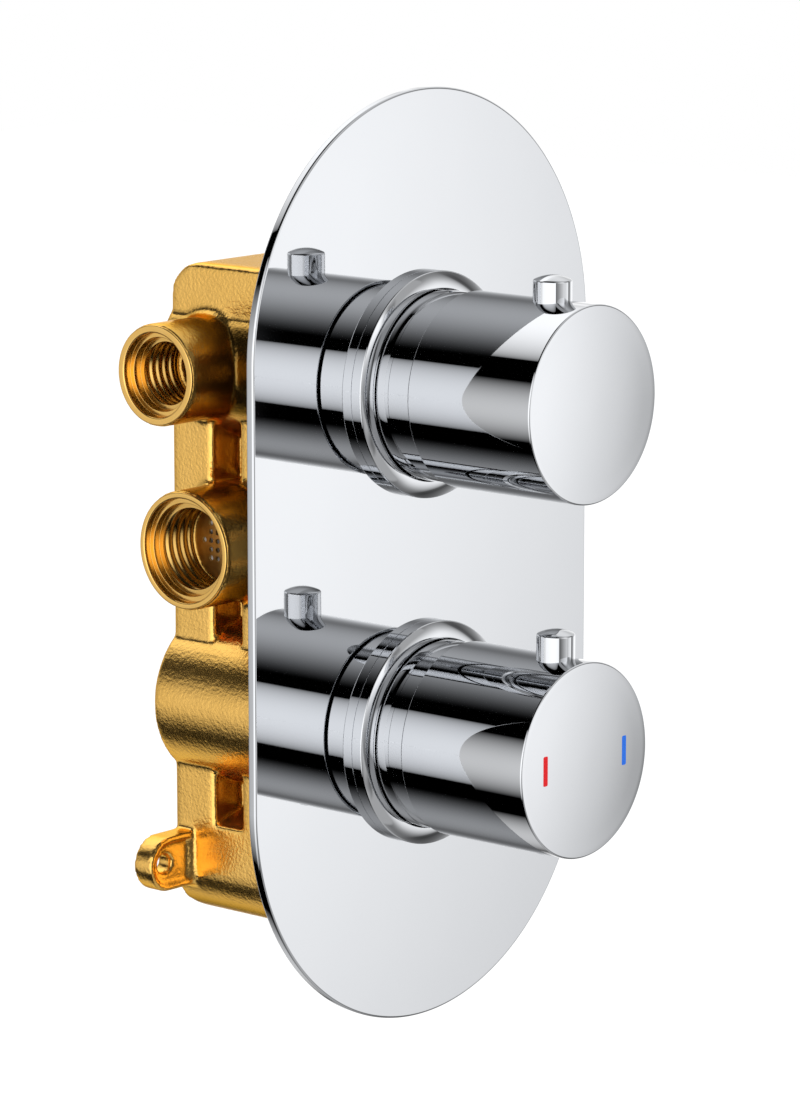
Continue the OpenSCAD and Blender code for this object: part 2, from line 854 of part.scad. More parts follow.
// The body's block: the meet of its side, front and plan outlines
module body_block() {
  z0 = lower_z - body_bottom;
  z1 = upper_z + body_top;
  e = body_edge;
  intersection() {
    translate([-body_x - over, 0, 0]) rotate([90, 0, 90]) linear_extrude(2 * body_x + 2 * over)
      rounded(body_front, body_rear, z0, z1, [e, body_bottom_rear, body_top_rear, e]);
    translate([0, body_rear + over, 0]) rotate([90, 0, 0])
      linear_extrude(body_rear - body_front + 2 * over)
        rounded(-body_x, body_x, z0, z1, [body_bottom_edge, body_bottom_edge, e, e]);
    translate([0, 0, z0 - over]) linear_extrude(z1 - z0 + 2 * over)
      rounded(-body_x, body_x, body_front, body_rear, [e, e, e, e]);
  }
}

// The recess down the left side, with rounded edges at its mouth and a sloped lower end
module body_recess() {
  z0 = lower_z - lower_housing_r - recess_drop;
  z1 = upper_z + outlet_r - lap;
  mouth_x = body_x + flare + over;
  floor_x = body_x - recess_d;
  e = body_edge * 3 / 4;
  intersection() {
    translate([0, 0, z0]) linear_extrude(z1 - z0) difference() {
      union() {
        translate([-mouth_x, body_flange]) square([mouth_x - floor_x, recess_w]);
        translate([-mouth_x, body_flange - e]) square([mouth_x - body_x + e, recess_w + 2 * e]);
      }
      translate([-body_x + e, body_flange - e]) circle(e);
      translate([-body_x + e, body_web + e]) circle(e);
    }
    translate([0, body_rear, 0]) rotate([90, 0, 0]) linear_extrude(body_rear - body_front)
      polygon([
        [-mouth_x, z0],
        [-body_x, z0],
        [-floor_x + over, z0 + recess_slope],
        [-floor_x + over, z1 + over],
        [-mouth_x, z1 + over]]);
  }
}

// A port's boss on the left side
module boss(x, y, z, r) {
  rim = 0.8;
  translate([-x, y, z]) rotate([0, 90, 0]) rotate_extrude()
    rounded(0, r, 0, x, [0, rim, 0, 0]);
}

// The fillet where a boss meets the left side, kept off the body's long edges
module boss_flare(y, z, r) {
  intersection() {
    translate([-body_x, y, z]) rotate([0, -90, 0]) rotate_extrude() difference() {
      translate([r - lap, -lap]) square([flare + lap, flare + lap]);
      translate([r + flare, flare]) circle(flare);
    }
    translate([-body_x - flare - over, body_front + body_edge, z - r - flare - over])
      cube([2 * flare, body_rear - body_front - 2 * body_edge, 2 * (r + flare + over)]);
  }
}

// A housing: a round shell along Y, from the body's front to behind its web
module housing(r) {
  spun() rounded(0, r, body_front, housing_rear, [0, 0, housing_edge, 0]);
}

// A lug on the left side: a round-ended tab with a sunk face and a fixing hole
module lug() {
  z = lower_z - body_bottom + lug_up;
  r = lug_h / 2;
  end = lug_x - r / 9;
  translate([0, body_rear - lug_in, z]) rotate([90, 0, 0]) difference() {
    linear_extrude(lug_t) union() {
      translate([-end, 0]) circle(r);
      translate([-end, -r]) square([end - body_x / 2, lug_h]);
    }
    translate([0, 0, lug_t - lug_sink]) linear_extrude(lug_sink + over) union() {
      translate([-end, 0]) circle(r - lug_rim);
      translate([-end, -r + lug_rim]) square([end - body_x - lug_rim, lug_h - 2 * lug_rim]);
    }
    translate([-lug_x, 0, -over]) cylinder(h = lug_t + 2 * over, r = lug_hole_r);
  }
}

// The waterway of the left outlet
module outlet_way() {
  step_r = (outlet_mouth_r + outlet_thread_r) / 2;
  x_thread = -outlet_x + outlet_mouth;
  passage_r = outlet_thread_r * 4 / 5;
  passage_end = disc_hole_at - disc_hole_r - over;
  translate([0, outlet_y, upper_z]) {
    bar(-outlet_x - over, -outlet_x + outlet_mouth / 2, outlet_mouth_r);
    bar(-outlet_x, x_thread, step_r);
    bar(-outlet_x, x_thread + outlet_thread, outlet_thread_r);
    bar(-outlet_x, -passage_end, passage_r);
  }
  translate([-disc_hole_at, 0, upper_z]) rod(diverter_rear - over, outlet_y, disc_hole_r);
}

// The waterway of the left inlet
module inlet_way() {
  step_r = (inlet_mouth_r + inlet_thread_r) / 2;
  translate([0, inlet_y, 0]) {
    bar(-inlet_x - over, -inlet_x + inlet_mouth * 3 / 5, inlet_mouth_r);
    bar(-inlet_x, -inlet_x + inlet_mouth, step_r);
    bar(-inlet_x, -thread_end, inlet_thread_r);
    bar(-inlet_x, -check_front, check_rim_r + seat_gap);
    bar(-inlet_x, -check_rear + seat_gap, check_r + seat_gap);
    bar(-inlet_x, -split_wall, chamber_r);
  }
}

// The cast body: block, housings, bosses and lugs, with the bores and waterways through it
module valve_body() {
  color(brass) difference() {
    union() {
      difference() {
        union() {
          body_block();
          both_sides() {
            boss_flare(outlet_y, upper_z, outlet_r);
            boss_flare(inlet_y, 0, inlet_r);
          }
        }
        both_sides() body_recess();
      }
      at_upper() housing(upper_housing_r);
      at_lower() housing(lower_housing_r);
      both_handles() {
        rod(body_front, body_front + seat_t, seat_r);
        rod(spigot_front, body_front + lap, spigot_r);
      }
      both_sides() {
        boss(outlet_x, outlet_y, upper_z, outlet_r);
        boss(inlet_x, inlet_y, 0, inlet_r);
        lug();
      }
    }
    both_handles() rod(spigot_front - over, body_front, mouth_r);
    at_lower() rod(body_front - over, thermo_rear, thermo_r);
    at_upper() rod(body_front - over, diverter_rear, diverter_r);
    both_sides() {
      outlet_way();
      inlet_way();
    }
    translate([0, mixed_y, 0])
      post(lower_z + thermo_r - 4 * over, upper_z - diverter_r + 4 * over, mixed_r);
    translate([-feed_x, 0, 0]) rod(inlet_y, hot_y, feed_r);
    translate([-feed_x, hot_y, 0]) post(lower_z + thermo_r / 2, feed_r, feed_r);
    translate([feed_x, cold_y, 0]) post(lower_z + thermo_r / 2, 0, feed_r);
  }
}

// The nut that clamps a cartridge, with a hexagon to turn it by
module cartridge_nut() {
  hex_inset = 3;
  hex_t = 6;
  color(brass) difference() {
    union() {
      rod(spigot_front + face_gap, flange_ring_y - seat_gap, mouth_r - seat_gap);
      translate([0, spigot_front + face_gap + lap, 0]) rotate([90, 0, 0])
        cylinder(h = hex_t, r = mouth_r - hex_inset, $fn = 6);
    }
    rod(spigot_front - hex_t - over, flange_ring_y + over, nose_r + 2 * seat_gap);
  }
}

module cartridge_nut_upper() {
  at_upper() cartridge_nut();
}

module cartridge_nut_lower() {
  at_lower() cartridge_nut();
}

// A cartridge's nose and clamped flange
module cartridge_front() {
  rod(nose_y, flange_ring_y + lap, nose_r);
  rod(flange_ring_y, body_front - seat_gap, mouth_r - 2 * seat_gap);
}

module diverter_housing() {
  floor_y = body_front + diverter_lip;
  barrel = diverter_r - 3 * seat_gap;
  count = 4;
  window_y = (floor_y + fixed_disc_y - disc_t) / 2;
  window = window_y - floor_y - face_gap;
  color(plastic) at_upper() difference() {
    union() {
      cartridge_front();
      rod(body_front - seat_gap - lap, fixed_disc_y + disc_t, barrel);
    }
    rod(floor_y, fixed_disc_y + disc_t + over, disc_r + 2 * run_gap);
    rod(nose_y - over, floor_y + over, spindle_r + run_gap);
    for (i = [0:count - 1]) rotate([0, 45 + 360 * i / count, 0])
      translate([0, window_y, 0]) bar(disc_r - over, diverter_r + over, window);
    translate([0, window_y, 0]) post(-diverter_r - over, -disc_r + over, window);
  }
}

// The grooves that spindle seals sit in
module spindle_grooves() {
  for (i = [1, 2]) translate([0, nose_y + ring_pitch * i, 0])
    tube(-groove_w / 2, groove_w / 2, spindle_r + over, spindle_r - o_ring_d / 2);
}

module spindle_rings() {
  section = (o_ring_d / 2 + run_gap) / 2 - seat_gap / 2;
  color(dark) for (i = [1, 2])
    ring(nose_y + ring_pitch * i, spindle_r - o_ring_d / 2 + section + seat_gap / 4, section);
}

module diverter_spindle() {
  tip = nose_y - spindle_in;
  driver_rear = moving_disc_y - run_gap;
  color(brass) at_upper() union() {
    difference() {
      rod(nose_y - over, driver_rear, spindle_r);
      spindle_grooves();
    }
    splined(tip, nose_y, spindle_r - seat_gap);
    rod(driver_rear - driver_t, driver_rear, driver_r);
    translate([-driver_r, driver_rear - lap, -tongue_w / 2])
      cube([2 * driver_r, tongue_h + lap, tongue_w]);
  }
}

module diverter_spindle_rings() {
  at_upper() spindle_rings();
}

// The ceramic disc that turns: one opening, low when the valve is shut
module moving_disc() {
  color(ceramic) at_upper() difference() {
    rod(moving_disc_y, moving_disc_y + disc_t, disc_r);
    translate([0, 0, -disc_hole_at])
      rod(moving_disc_y - over, moving_disc_y + disc_t + over, disc_hole_r);
    translate([-driver_r - face_gap, moving_disc_y - over, -tongue_w / 2 - seat_gap])
      cube([2 * driver_r + 2 * face_gap, tongue_h + over, tongue_w + 2 * seat_gap]);
  }
}

// The two openings that lead to the outlets
module outlet_holes(y0, y1) {
  both_sides() translate([disc_hole_at, 0, 0]) rod(y0 - over, y1 + over, disc_hole_r);
}

module fixed_disc() {
  color(ceramic) at_upper() difference() {
    rod(fixed_disc_y, fixed_disc_y + disc_t, disc_r + run_gap);
    outlet_holes(fixed_disc_y, fixed_disc_y + disc_t);
  }
}

module disc_seal() {
  y0 = fixed_disc_y + disc_t;
  color(dark) at_upper() difference() {
    rod(y0, diverter_rear, diverter_r - 3 * seat_gap);
    outlet_holes(y0, diverter_rear);
  }
}

// A ring of four round windows through the thermostat's barrel
module windows(y, r) {
  count = 4;
  for (i = [0:count - 1]) rotate([0, 45 + 360 * i / count, 0])
    translate([0, y, 0]) bar(barrel_bore_r - over, barrel_r + over, r);
}

module thermostat_housing() {
  color(brass) at_lower() difference() {
    union() {
      cartridge_front();
      rod(body_front - seat_gap - lap, barrel_rear, barrel_r);
    }
    rod(nose_y - over, screw_front + over, spindle_r + run_gap);
    rod(screw_front, barrel_front + over, screw_bore_r);
    rod(barrel_front, barrel_rear + over, barrel_bore_r);
    translate([-screw_bore_r - key_h, screw_front, -key_w / 2 - face_gap / 2])
      cube([2 * screw_bore_r + 2 * key_h, barrel_front - screw_front + over,
        key_w + face_gap]);
    for (y = [mixed_y, cold_y, hot_y]) {
      windows(y, window_r);
      tube(y - window_w / 2, y + window_w / 2, barrel_r + over, barrel_r - barrel_groove);
    }
    for (y = seal_stations) tube(y - groove_w / 2, y + groove_w / 2, barrel_r + over,
      thermo_r - o_ring_d);
  }
}

module cartridge_o_rings() {
  section = o_ring_d / 2 - seat_gap;
  color(dark) at_lower() for (y = seal_stations)
    ring(y, thermo_r - o_ring_d / 2, section);
}

module thermostat_spindle() {
  tip = nose_y - spindle_in;
  disc_y = screw_front + face_gap;
  color(brass) at_lower() union() {
    difference() {
      rod(nose_y - over, disc_y + lap, spindle_r);
      spindle_grooves();
    }
    splined(tip, nose_y, spindle_r - seat_gap);
    rod(disc_y, disc_y + screw_disc_t, screw_bore_r - 2 * run_gap);
    rod(disc_y, disc_y + screw_disc_t + screw_len, screw_r);
  }
}

module thermostat_spindle_rings() {
  at_lower() spindle_rings();
}

// The nut that the spindle's screw drives back and forth, keyed against turning
module drive_nut() {
  color(brass) at_lower() difference() {
    union() {
      rod(drive_y, drive_y + drive_len, screw_bore_r - run_gap);
      translate([-screw_bore_r - key_h + face_gap, drive_y, -key_w / 2])
        cube([2 * (screw_bore_r + key_h - face_gap), drive_len, key_w]);
    }
    rod(drive_y - over, drive_y + drive_len + over, screw_r + run_gap);
  }
}

module overload_spring() {
  wire = 0.5;
  y0 = drive_y + drive_len + seat_gap;
  turns = 2;
  color(steel) at_lower() translate([0, y0, 0]) rotate([-90, 0, 0])
    coil(screw_bore_r - 2 * wire - face_gap, wire, cup_y - cup_t - y0 - seat_gap, turns);
}

// The cup that takes the wax piston's push
module spring_cup() {
  r = screw_bore_r - face_gap;
  color(brass) at_lower() difference() {
    rod(cup_y - cup_t, cup_y, r);
    rod(cup_y - cup_t + cup_rim, cup_y + over, r - cup_rim);
  }
}

// The wax capsule, its piston and its guide
module wax_element() {
  piston_r = 1.6;
  guide_r = 4;
  guide_len = 6;
  cup_floor = cup_y - cup_t + cup_rim + seat_gap;
  color([0.78, 0.50, 0.34]) at_lower() union() {
    rod(cup_floor, wax_front, piston_r);
    rod(wax_front - over, wax_front + guide_len, guide_r);
    rod(wax_front + guide_len - lap, wax_rear, wax_r);
  }
}

// The shuttle that closes the hot or the cold windows
module shuttle() {
  wall = 1.7;
  hub_wall = 1.4;
  hub_len = 8;
  arms = 4;
  arm_w = 2;
  hub = wax_r + hub_wall;
  color(plastic) at_lower() union() {
    tube(shuttle_front, shuttle_rear, shuttle_r, shuttle_r - wall);
    tube(shuttle_rear - hub_len, shuttle_rear, hub, wax_r + seat_gap);
    for (i = [0:arms - 1]) rotate([0, 360 * i / arms, 0])
      translate([hub - lap, shuttle_rear - hub_len, -arm_w / 2])
        cube([shuttle_r - wall - hub + 2 * lap, hub_len, arm_w]);
  }
}

module return_spring() {
  wire = 0.4;
  turns = 2;
  y0 = shuttle_rear + seat_gap;
  radius = (shuttle_r + wax_r) / 2;
  color(steel) at_lower() translate([0, y0, 0]) rotate([-90, 0, 0])
    coil(radius, wire, barrel_rear - cap_t - y0 - seat_gap, turns);
}

// The cap that closes the thermostat's barrel
module cartridge_cap() {
  hole_r = 2.6;
  hole_at = barrel_bore_r / 2;
  count = 3;
  color(brass) at_lower() difference() {
    rod(barrel_rear - cap_t, barrel_rear, barrel_bore_r - seat_gap);
    for (i = [0:count - 1]) rotate([0, 360 * i / count, 0])
      translate([hole_at, 0, 0]) rod(barrel_rear - cap_t - over, barrel_rear + over, hole_r);
  }
}

// The left inlet's check valve: barrel, seat and the three-armed guide
module check_valve() {
  arms = 3;
  arm_w = 1.2;
  color(plastic) translate([0, inlet_y, 0]) {
    difference() {
      union() {
        bar(-check_front - check_rim_t, -check_rear, check_r);
        bar(-check_front - check_rim_t, -check_front, check_rim_r);
      }
      bar(-check_front - check_rim_t - over, -check_rear + over, check_seat_r);
      bar(-check_front + check_seat_t, -check_rear + over, check_bore_r);
    }
    difference() {
      union() {
        bar(-check_rear - check_hub_t, -check_rear, check_hub_r);
        for (i = [0:arms - 1]) rotate([360 * i / arms, 0, 0])
          translate([-check_rear - check_hub_t, -arm_w / 2, 0])
            cube([check_hub_t, arm_w, check_bore_r + lap]);
      }
      bar(-check_rear - check_hub_t - over, -check_rear + over, poppet_stem_r + run_gap);
    }
  }
}

// The left poppet, at rest on its seat
module poppet() {
  stem_end = -check_rear + poppet_t / 4;
  color(plastic) translate([0, inlet_y, 0]) {
    bar(poppet_x, poppet_x + poppet_t, poppet_r);
    bar(poppet_x + poppet_t - lap, stem_end, poppet_stem_r);
  }
}

module poppet_spring() {
  x0 = poppet_x + poppet_t + seat_gap;
  wire = 0.2;
  turns = 3;
  color(steel) translate([x0, inlet_y, 0]) rotate([0, 90, 0])
    coil(poppet_stem_r + 2 * wire, wire, -check_rear - check_hub_t - seat_gap - x0, turns);
}

module check_valve_left() {
  check_valve();
}

module check_valve_right() {
  mirror([1, 0, 0]) check_valve();
}

module poppet_left() {
  poppet();
}

module poppet_right() {
  mirror([1, 0, 0]) poppet();
}

module poppet_spring_left() {
  poppet_spring();
}

module poppet_spring_right() {
  mirror([1, 0, 0]) poppet_spring();
}

// Perforated discs that keep grit out of the check valves
module inlet_strainers() {
  x1 = -check_front - check_rim_t - seat_gap;
  rows = 3;
  color(steel) both_sides() translate([0, inlet_y, 0]) difference() {
    bar(x1 - strainer_t, x1, check_rim_r);
    for (i = [-rows:rows]) for (j = [-rows:rows])
      if (i * i + j * j <= rows * rows)
        translate([0, i * strainer_hole_pitch, j * strainer_hole_pitch])
          bar(x1 - strainer_t - over, x1 + over, strainer_hole_r);
  }
}

face_plate();
plate_gasket();
collar_upper();
collar_lower();
collar_nuts();
collar_o_rings();
sleeve_upper();
sleeve_lower();
index_rings();
knob_upper();
lever_pin_upper();
knob_insert_upper();
grub_screw_upper();
knob_lower();
lever_pin_lower();
knob_insert_lower();
grub_screw_lower();
hot_mark();
cold_mark();
override_button();
button_spring();
limit_ring();
valve_body();
cartridge_nut_upper();
cartridge_nut_lower();
diverter_housing();
diverter_spindle();
diverter_spindle_rings();
moving_disc();
fixed_disc();
disc_seal();
thermostat_housing();
thermostat_spindle();
thermostat_spindle_rings();
drive_nut();
overload_spring();
spring_cup();
wax_element();
shuttle();
return_spring();
cartridge_cap();
cartridge_o_rings();
check_valve_left();
check_valve_right();
poppet_left();
poppet_right();
poppet_spring_left();
poppet_spring_right();
inlet_strainers();
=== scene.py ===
import math
from collections import namedtuple

import bmesh
import bpy
from mathutils import Matrix, Vector


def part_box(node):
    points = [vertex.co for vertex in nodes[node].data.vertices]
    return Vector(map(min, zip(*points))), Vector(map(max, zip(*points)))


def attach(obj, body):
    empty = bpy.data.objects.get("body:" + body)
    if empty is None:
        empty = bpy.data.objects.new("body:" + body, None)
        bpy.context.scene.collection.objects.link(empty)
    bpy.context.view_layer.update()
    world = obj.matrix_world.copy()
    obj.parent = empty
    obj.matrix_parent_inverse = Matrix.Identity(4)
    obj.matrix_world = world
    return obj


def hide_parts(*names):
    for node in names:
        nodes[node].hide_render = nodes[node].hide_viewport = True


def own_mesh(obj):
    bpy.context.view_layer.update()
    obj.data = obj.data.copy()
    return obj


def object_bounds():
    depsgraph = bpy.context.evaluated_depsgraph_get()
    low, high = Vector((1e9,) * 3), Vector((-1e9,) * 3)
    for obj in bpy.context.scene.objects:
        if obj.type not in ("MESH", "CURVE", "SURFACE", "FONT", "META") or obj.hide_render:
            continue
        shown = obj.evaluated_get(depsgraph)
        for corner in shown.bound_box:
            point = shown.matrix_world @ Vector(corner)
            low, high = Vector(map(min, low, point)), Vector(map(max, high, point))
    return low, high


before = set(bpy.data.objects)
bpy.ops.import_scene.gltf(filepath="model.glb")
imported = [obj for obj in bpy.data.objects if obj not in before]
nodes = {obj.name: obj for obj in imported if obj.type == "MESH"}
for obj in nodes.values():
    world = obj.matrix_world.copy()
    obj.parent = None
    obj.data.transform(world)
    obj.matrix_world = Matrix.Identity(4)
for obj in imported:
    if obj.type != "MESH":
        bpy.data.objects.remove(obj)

cad_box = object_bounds()
MM = 0.001


# The studio: a pale floor, a white background, and long strip lights that run beside the
# valve from front to back, with black flags between them, as chrome is photographed.
class Wire:
    """A socket's value, which adds, multiplies and so on as a number does."""

    def __init__(self, finish, socket):
        self.finish, self.socket = finish, socket

    def sum(self, operation, *values):
        return self.finish.add("Math", {"operation": operation}, dict(enumerate(values)))

    def __add__(self, other):
        return self.sum("ADD", self, other)

    def __sub__(self, other):
        return self.sum("SUBTRACT", self, other)

    def __mul__(self, other):
        return self.sum("MULTIPLY", self, other)

    def __truediv__(self, other):
        return self.sum("DIVIDE", self, other)

    def __rsub__(self, other):
        return self.sum("SUBTRACT", other, self)

    __radd__ = __add__
    __rmul__ = __mul__

    def rise(self, low, high):
        """0 where the value is below low, 1 above high, and a smooth step between."""
        return self.finish.add("MapRange", {"interpolation_type": "SMOOTHSTEP"},
                               {"Value": self, "From Min": low, "From Max": high})


class Finish:
    """The nodes of a material or of the world."""

    def __init__(self, owner):
        owner.use_nodes = True
        self.tree = owner.node_tree
        self.tree.nodes.clear()

    def add(self, kind, settings=None, sockets=None, out=0):
        node = self.tree.nodes.new("ShaderNode" + kind)
        for key, value in (settings or {}).items():
            if key == "stops":
                marks = node.color_ramp.elements
                while len(marks) < len(value):
                    marks.new(1)
                for mark, (place, colour) in zip(marks, value):
                    mark.position, mark.color = place, colour
            else:
                setattr(node, key, value)
        for key, value in (sockets or {}).items():
            if isinstance(value, Wire):
                self.tree.links.new(value.socket, node.inputs[key])
            else:
                node.inputs[key].default_value = value
        return Wire(self, node.outputs[out]) if node.outputs else None

    def parts(self, kind, *names, **sockets):
        """Several outputs of one node."""
        outputs = self.add(kind, None, sockets).socket.node.outputs
        return [Wire(self, outputs[name]) for name in names]

    def mix(self, share, first, second):
        """A mix of two colours."""
        return self.add("Mix", {"data_type": "RGBA"}, {0: share, 6: first, 7: second}, 2)

    def blend(self, share, first, second):
        """A mix of two shaders."""
        return self.add("MixShader", None, {0: share, 1: first, 2: second})


camera_place = Vector((-1062.08, -908.61, 265.32)) * MM
camera_view = Vector((0.74401, 0.64150, -0.18688))
camera_right = Vector((0.65300, -0.75735, 0))
focal_share = 4956.6 / 1118
scene = bpy.context.scene
camera_data = bpy.data.cameras.new("camera")
camera_data.lens = camera_data.sensor_width * focal_share
camera = bpy.data.objects.new("camera", camera_data)
turn = Matrix((camera_right, camera_right.cross(camera_view), -camera_view)).transposed()
camera.matrix_world = Matrix.Translation(camera_place) @ turn.to_4x4()
scene.collection.objects.link(camera)
scene.camera = camera
scene.view_settings.view_transform = "Standard"

world = bpy.data.worlds.new("studio")
scene.world = world
studio = Finish(world)
across, along, upward = studio.parts("SeparateXYZ", "X", "Y", "Z",
                                     Vector=studio.add("TexCoord"))
angle = upward.sum("ARCTAN2", upward, across) * (180 / math.pi)


def strip(centre, half, power, *glows):
    """A strip light: its angle about the valve, half its spread, how soft its edges are, and
    pairs of a place along it, from -1 in front to 1 behind, and its glow there."""
    off = angle.sum("WRAP", angle - centre, 180, -180) / half
    across_it = off.sum("POWER", off.sum("MAXIMUM", 1 - off * off, 0), power)
    stops = [((place + 1) / 2, (glow / 2, glow / 2, glow / 2, 1)) for place, glow in glows]
    return across_it * studio.add("ValToRGB", {"stops": stops}, {"Fac": along * 0.5 + 0.5}) * 2


left = strip(180, 37, 0.5, (-0.94, 0), (-0.91, 0.2), (-0.86, 0.2), (-0.83, 1.77), (-0.45, 1.77),
             (0.3, 1.6), (0.46, 0)) \
    + strip(187, 35, 1, (0.3, 0), (0.48, 1.25), (0.62, 0.85), (0.85, 0.6), (0.94, 0))
above = strip(68, 62, 2, (-0.94, 0), (-0.86, 0.83), (-0.45, 0.83), (-0.3, 0)) \
    + strip(50, 40, 1, (-0.4, 0), (-0.2, 1.1), (0.4, 1.1), (0.5, 0)) \
    + strip(70, 57, 0.5, (0.4, 0), (0.52, 1.6), (0.8, 1.5), (0.94, 0))
right = strip(-11, 44, 2, (-0.94, 0), (-0.86, 1.15), (-0.76, 1.22), (-0.66, 1.46),
              (-0.637, 1.33), (-0.61, 1.12), (-0.59, 0.95), (-0.565, 0.65), (-0.54, 0.2),
              (-0.5, 0.15), (-0.35, 0.5), (-0.1, 1.4), (0.3, 1.4), (0.5, 0)) \
    + strip(-12, 36, 0.7, (0.3, 0), (0.5, 1.3), (0.7, 1.3), (0.86, 0.5), (0.94, 0))
below = strip(-80, 45, 2, (-0.94, 0), (-0.86, 0.62), (-0.5, 0.62), (-0.3, 0.6), (0.3, 0.5),
              (0.45, 0)) \
    + strip(-80, 34, 1, (0.4, 0), (0.52, 0.8), (0.84, 0.8), (0.94, 0))

# Lights at both ends of the room, with a slope on the front one so that a flat face isn't one
# tone, and a fill near the front that keeps the plate from going black in other views.
slope = along.sum("MAXIMUM", upward * 1.7 + across + 0.92, 0.1)
ends = (1 - along.rise(-0.94, -0.87)) * slope + along.rise(0.87, 0.94) * 0.6
fill = (1 - along.rise(-0.71, -0.665)) * along.rise(-0.88, -0.83) * 0.55
light = along.sum("MAXIMUM", left + above + right + below, fill) + ends
glossy, seen = studio.parts("LightPath", "Is Glossy Ray", "Is Camera Ray")
room_light = 0.9
level = light * glossy + (1 - glossy) * (seen * (1 - room_light) + room_light)
studio.add("OutputWorld", None,
           {"Surface": studio.add("Background", None, {"Color": (1, 1, 1, 1),
                                                       "Strength": level})})

floor_drop = 0.16
floor_half = 3.0
floor_mesh = bpy.data.meshes.new("floor")
bm = bmesh.new()
bmesh.ops.create_grid(bm, x_segments=1, y_segments=1, size=floor_half)
bmesh.ops.translate(bm, verts=bm.verts, vec=(0, 0, cad_box[0].z - floor_drop))
bm.to_mesh(floor_mesh)
bm.free()
floor = bpy.data.objects.new("floor", floor_mesh)
scene.collection.objects.link(floor)
floor_paint = bpy.data.materials.new("pale_floor")
paint = Finish(floor_paint)
glossy, seen = paint.parts("LightPath", "Is Glossy Ray", "Is Camera Ray")
plain = paint.add("BsdfDiffuse", None, {"Color": (0.82, 0.82, 0.82, 1)})
lift = paint.add("Emission", None, {"Color": (1, 1, 1, 1), "Strength": 0.36})
lifted = paint.add("AddShader", None, {0: plain, 1: lift})
floor_look = paint.blend(glossy, paint.blend(seen, plain, lifted), paint.add("BsdfTransparent"))
paint.add("OutputMaterial", None, {"Surface": floor_look})
floor_mesh.materials.append(floor_paint)


# The cover plate: a stadium of 2.8 mm brass sheet, chromed and polished, with two holes for
# the collars and a groove behind its rim for a rubber seal.
def made(name, bm, finish, slot, body, *stands_for, place=Matrix()):
    """A finished piece from a bmesh, set in place and riding on a body."""
    bmesh.ops.remove_doubles(bm, verts=bm.verts, dist=0.002 * MM)
    bmesh.ops.transform(bm, matrix=place, verts=bm.verts)
    bmesh.ops.recalc_face_normals(bm, faces=bm.faces)
    mesh = bpy.data.meshes.new(name)
    bm.to_mesh(mesh)
    bm.free()
    return set_out(name, mesh, finish, slot, body, *stands_for)


def set_out(name, mesh, finish, slot, body, *stands_for, crease=50):
    """A finished mesh as a piece, with its material, its body and the nodes it replaces."""
    mesh.shade_smooth()
    mesh.set_sharp_from_angle(angle=math.radians(crease))
    mesh.materials.clear()
    mesh.materials.append(finish)
    piece = bpy.data.objects.new(name, mesh)
    scene.collection.objects.link(piece)
    normals = piece.modifiers.new("even_normals", "WEIGHTED_NORMAL")
    normals.keep_sharp = True
    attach(piece, body)
    if stands_for:
        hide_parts(*stands_for)
    return piece


def noise(finish, spots, scale, detail=2, rough=0.5):
    """Noise on the piece's own coordinates, with scale spots to the millimetre."""
    return finish.add("TexNoise", None, {"Vector": spots, "Scale": scale / MM,
                                         "Detail": detail, "Roughness": rough})


def bump(finish, height, depth, normal=None):
    """Height times depth in millimetres, as bump."""
    sockets = {"Height": height, "Distance": depth * MM, "Strength": 1}
    if normal:
        sockets["Normal"] = normal
    return finish.add("Bump", None, sockets)


def material(name, shade):
    """A material whose shade function gives the values of its Principled shader's sockets."""
    paint = bpy.data.materials.new(name)
    finish = Finish(paint)
    spots = finish.add("TexCoord", None, None, 3)
    surface = finish.add("BsdfPrincipled", None, shade(finish, spots))
    finish.add("OutputMaterial", None, {"Surface": surface})
    return paint


def chrome_shade(finish, spots):
    smears = noise(finish, spots, 0.03, 3)
    stretch = finish.add("Mapping", None, {"Vector": spots, "Scale": (1, 1, 0.04)})
    hairs = noise(finish, stretch, 2.5, 3, 0.7).rise(0.55, 0.8)
    waves = noise(finish, spots, 0.05, 1)
    tint = finish.mix(smears, (0.605, 0.618, 0.64, 1), (0.625, 0.636, 0.655, 1))
    return {"Base Color": tint, "Metallic": 1,
            "Roughness": smears * 0.012 + hairs * 0.02 + 0.012,
            "Normal": bump(finish, waves, 0.003)}


def plate_shade(finish, spots):
    """Chrome in front, and a plated back that the polishing wheel never reached, rough and
    painted dark as shade.
    """
    sockets = chrome_shade(finish, spots)
    depth = finish.parts("SeparateXYZ", "Y", Vector=spots)[0]
    back = depth.rise(-0.5 * MM, -0.2 * MM)
    cloud = noise(finish, spots, 0.08, 4)
    # Painted shade: the back's dark colour stands for shade on its unlit side. Its roughness is
    # the real unpolished plating.
    rough_back_and_shade = finish.mix(cloud, (0.24, 0.24, 0.25, 1), (0.34, 0.34, 0.34, 1))
    sockets["Base Color"] = finish.mix(back, sockets["Base Color"], rough_back_and_shade)
    sockets["Roughness"] = sockets["Roughness"] + back * (cloud * 0.2 + 0.35)
    return sockets


chrome = material("polished_chrome", chrome_shade)
plate_chrome = material("plate_chrome", plate_shade)
plate_low, plate_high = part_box("face_plate")
plate_round = 0.7 * MM
plate_r = plate_high.x
plate_c = plate_high.z - plate_r
collar_low, collar_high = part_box("collar_upper")
handle_z = (collar_low.z + collar_high.z) / 2
hole_r = 29.75 * MM
rim_steps = 360
lying = Matrix.Rotation(math.pi / 2, 4, "X")


def stadium(bm, radius):
    """The plate's outline, at a radius about its two centres."""
    half_step = Matrix.Rotation(math.pi / rim_steps, 4, "Z")
    rim = bmesh.ops.create_circle(bm, segments=rim_steps, radius=radius,
                                  matrix=lying @ half_step)
    for v in rim["verts"]:
        v.co.z += math.copysign(plate_c, v.co.z)


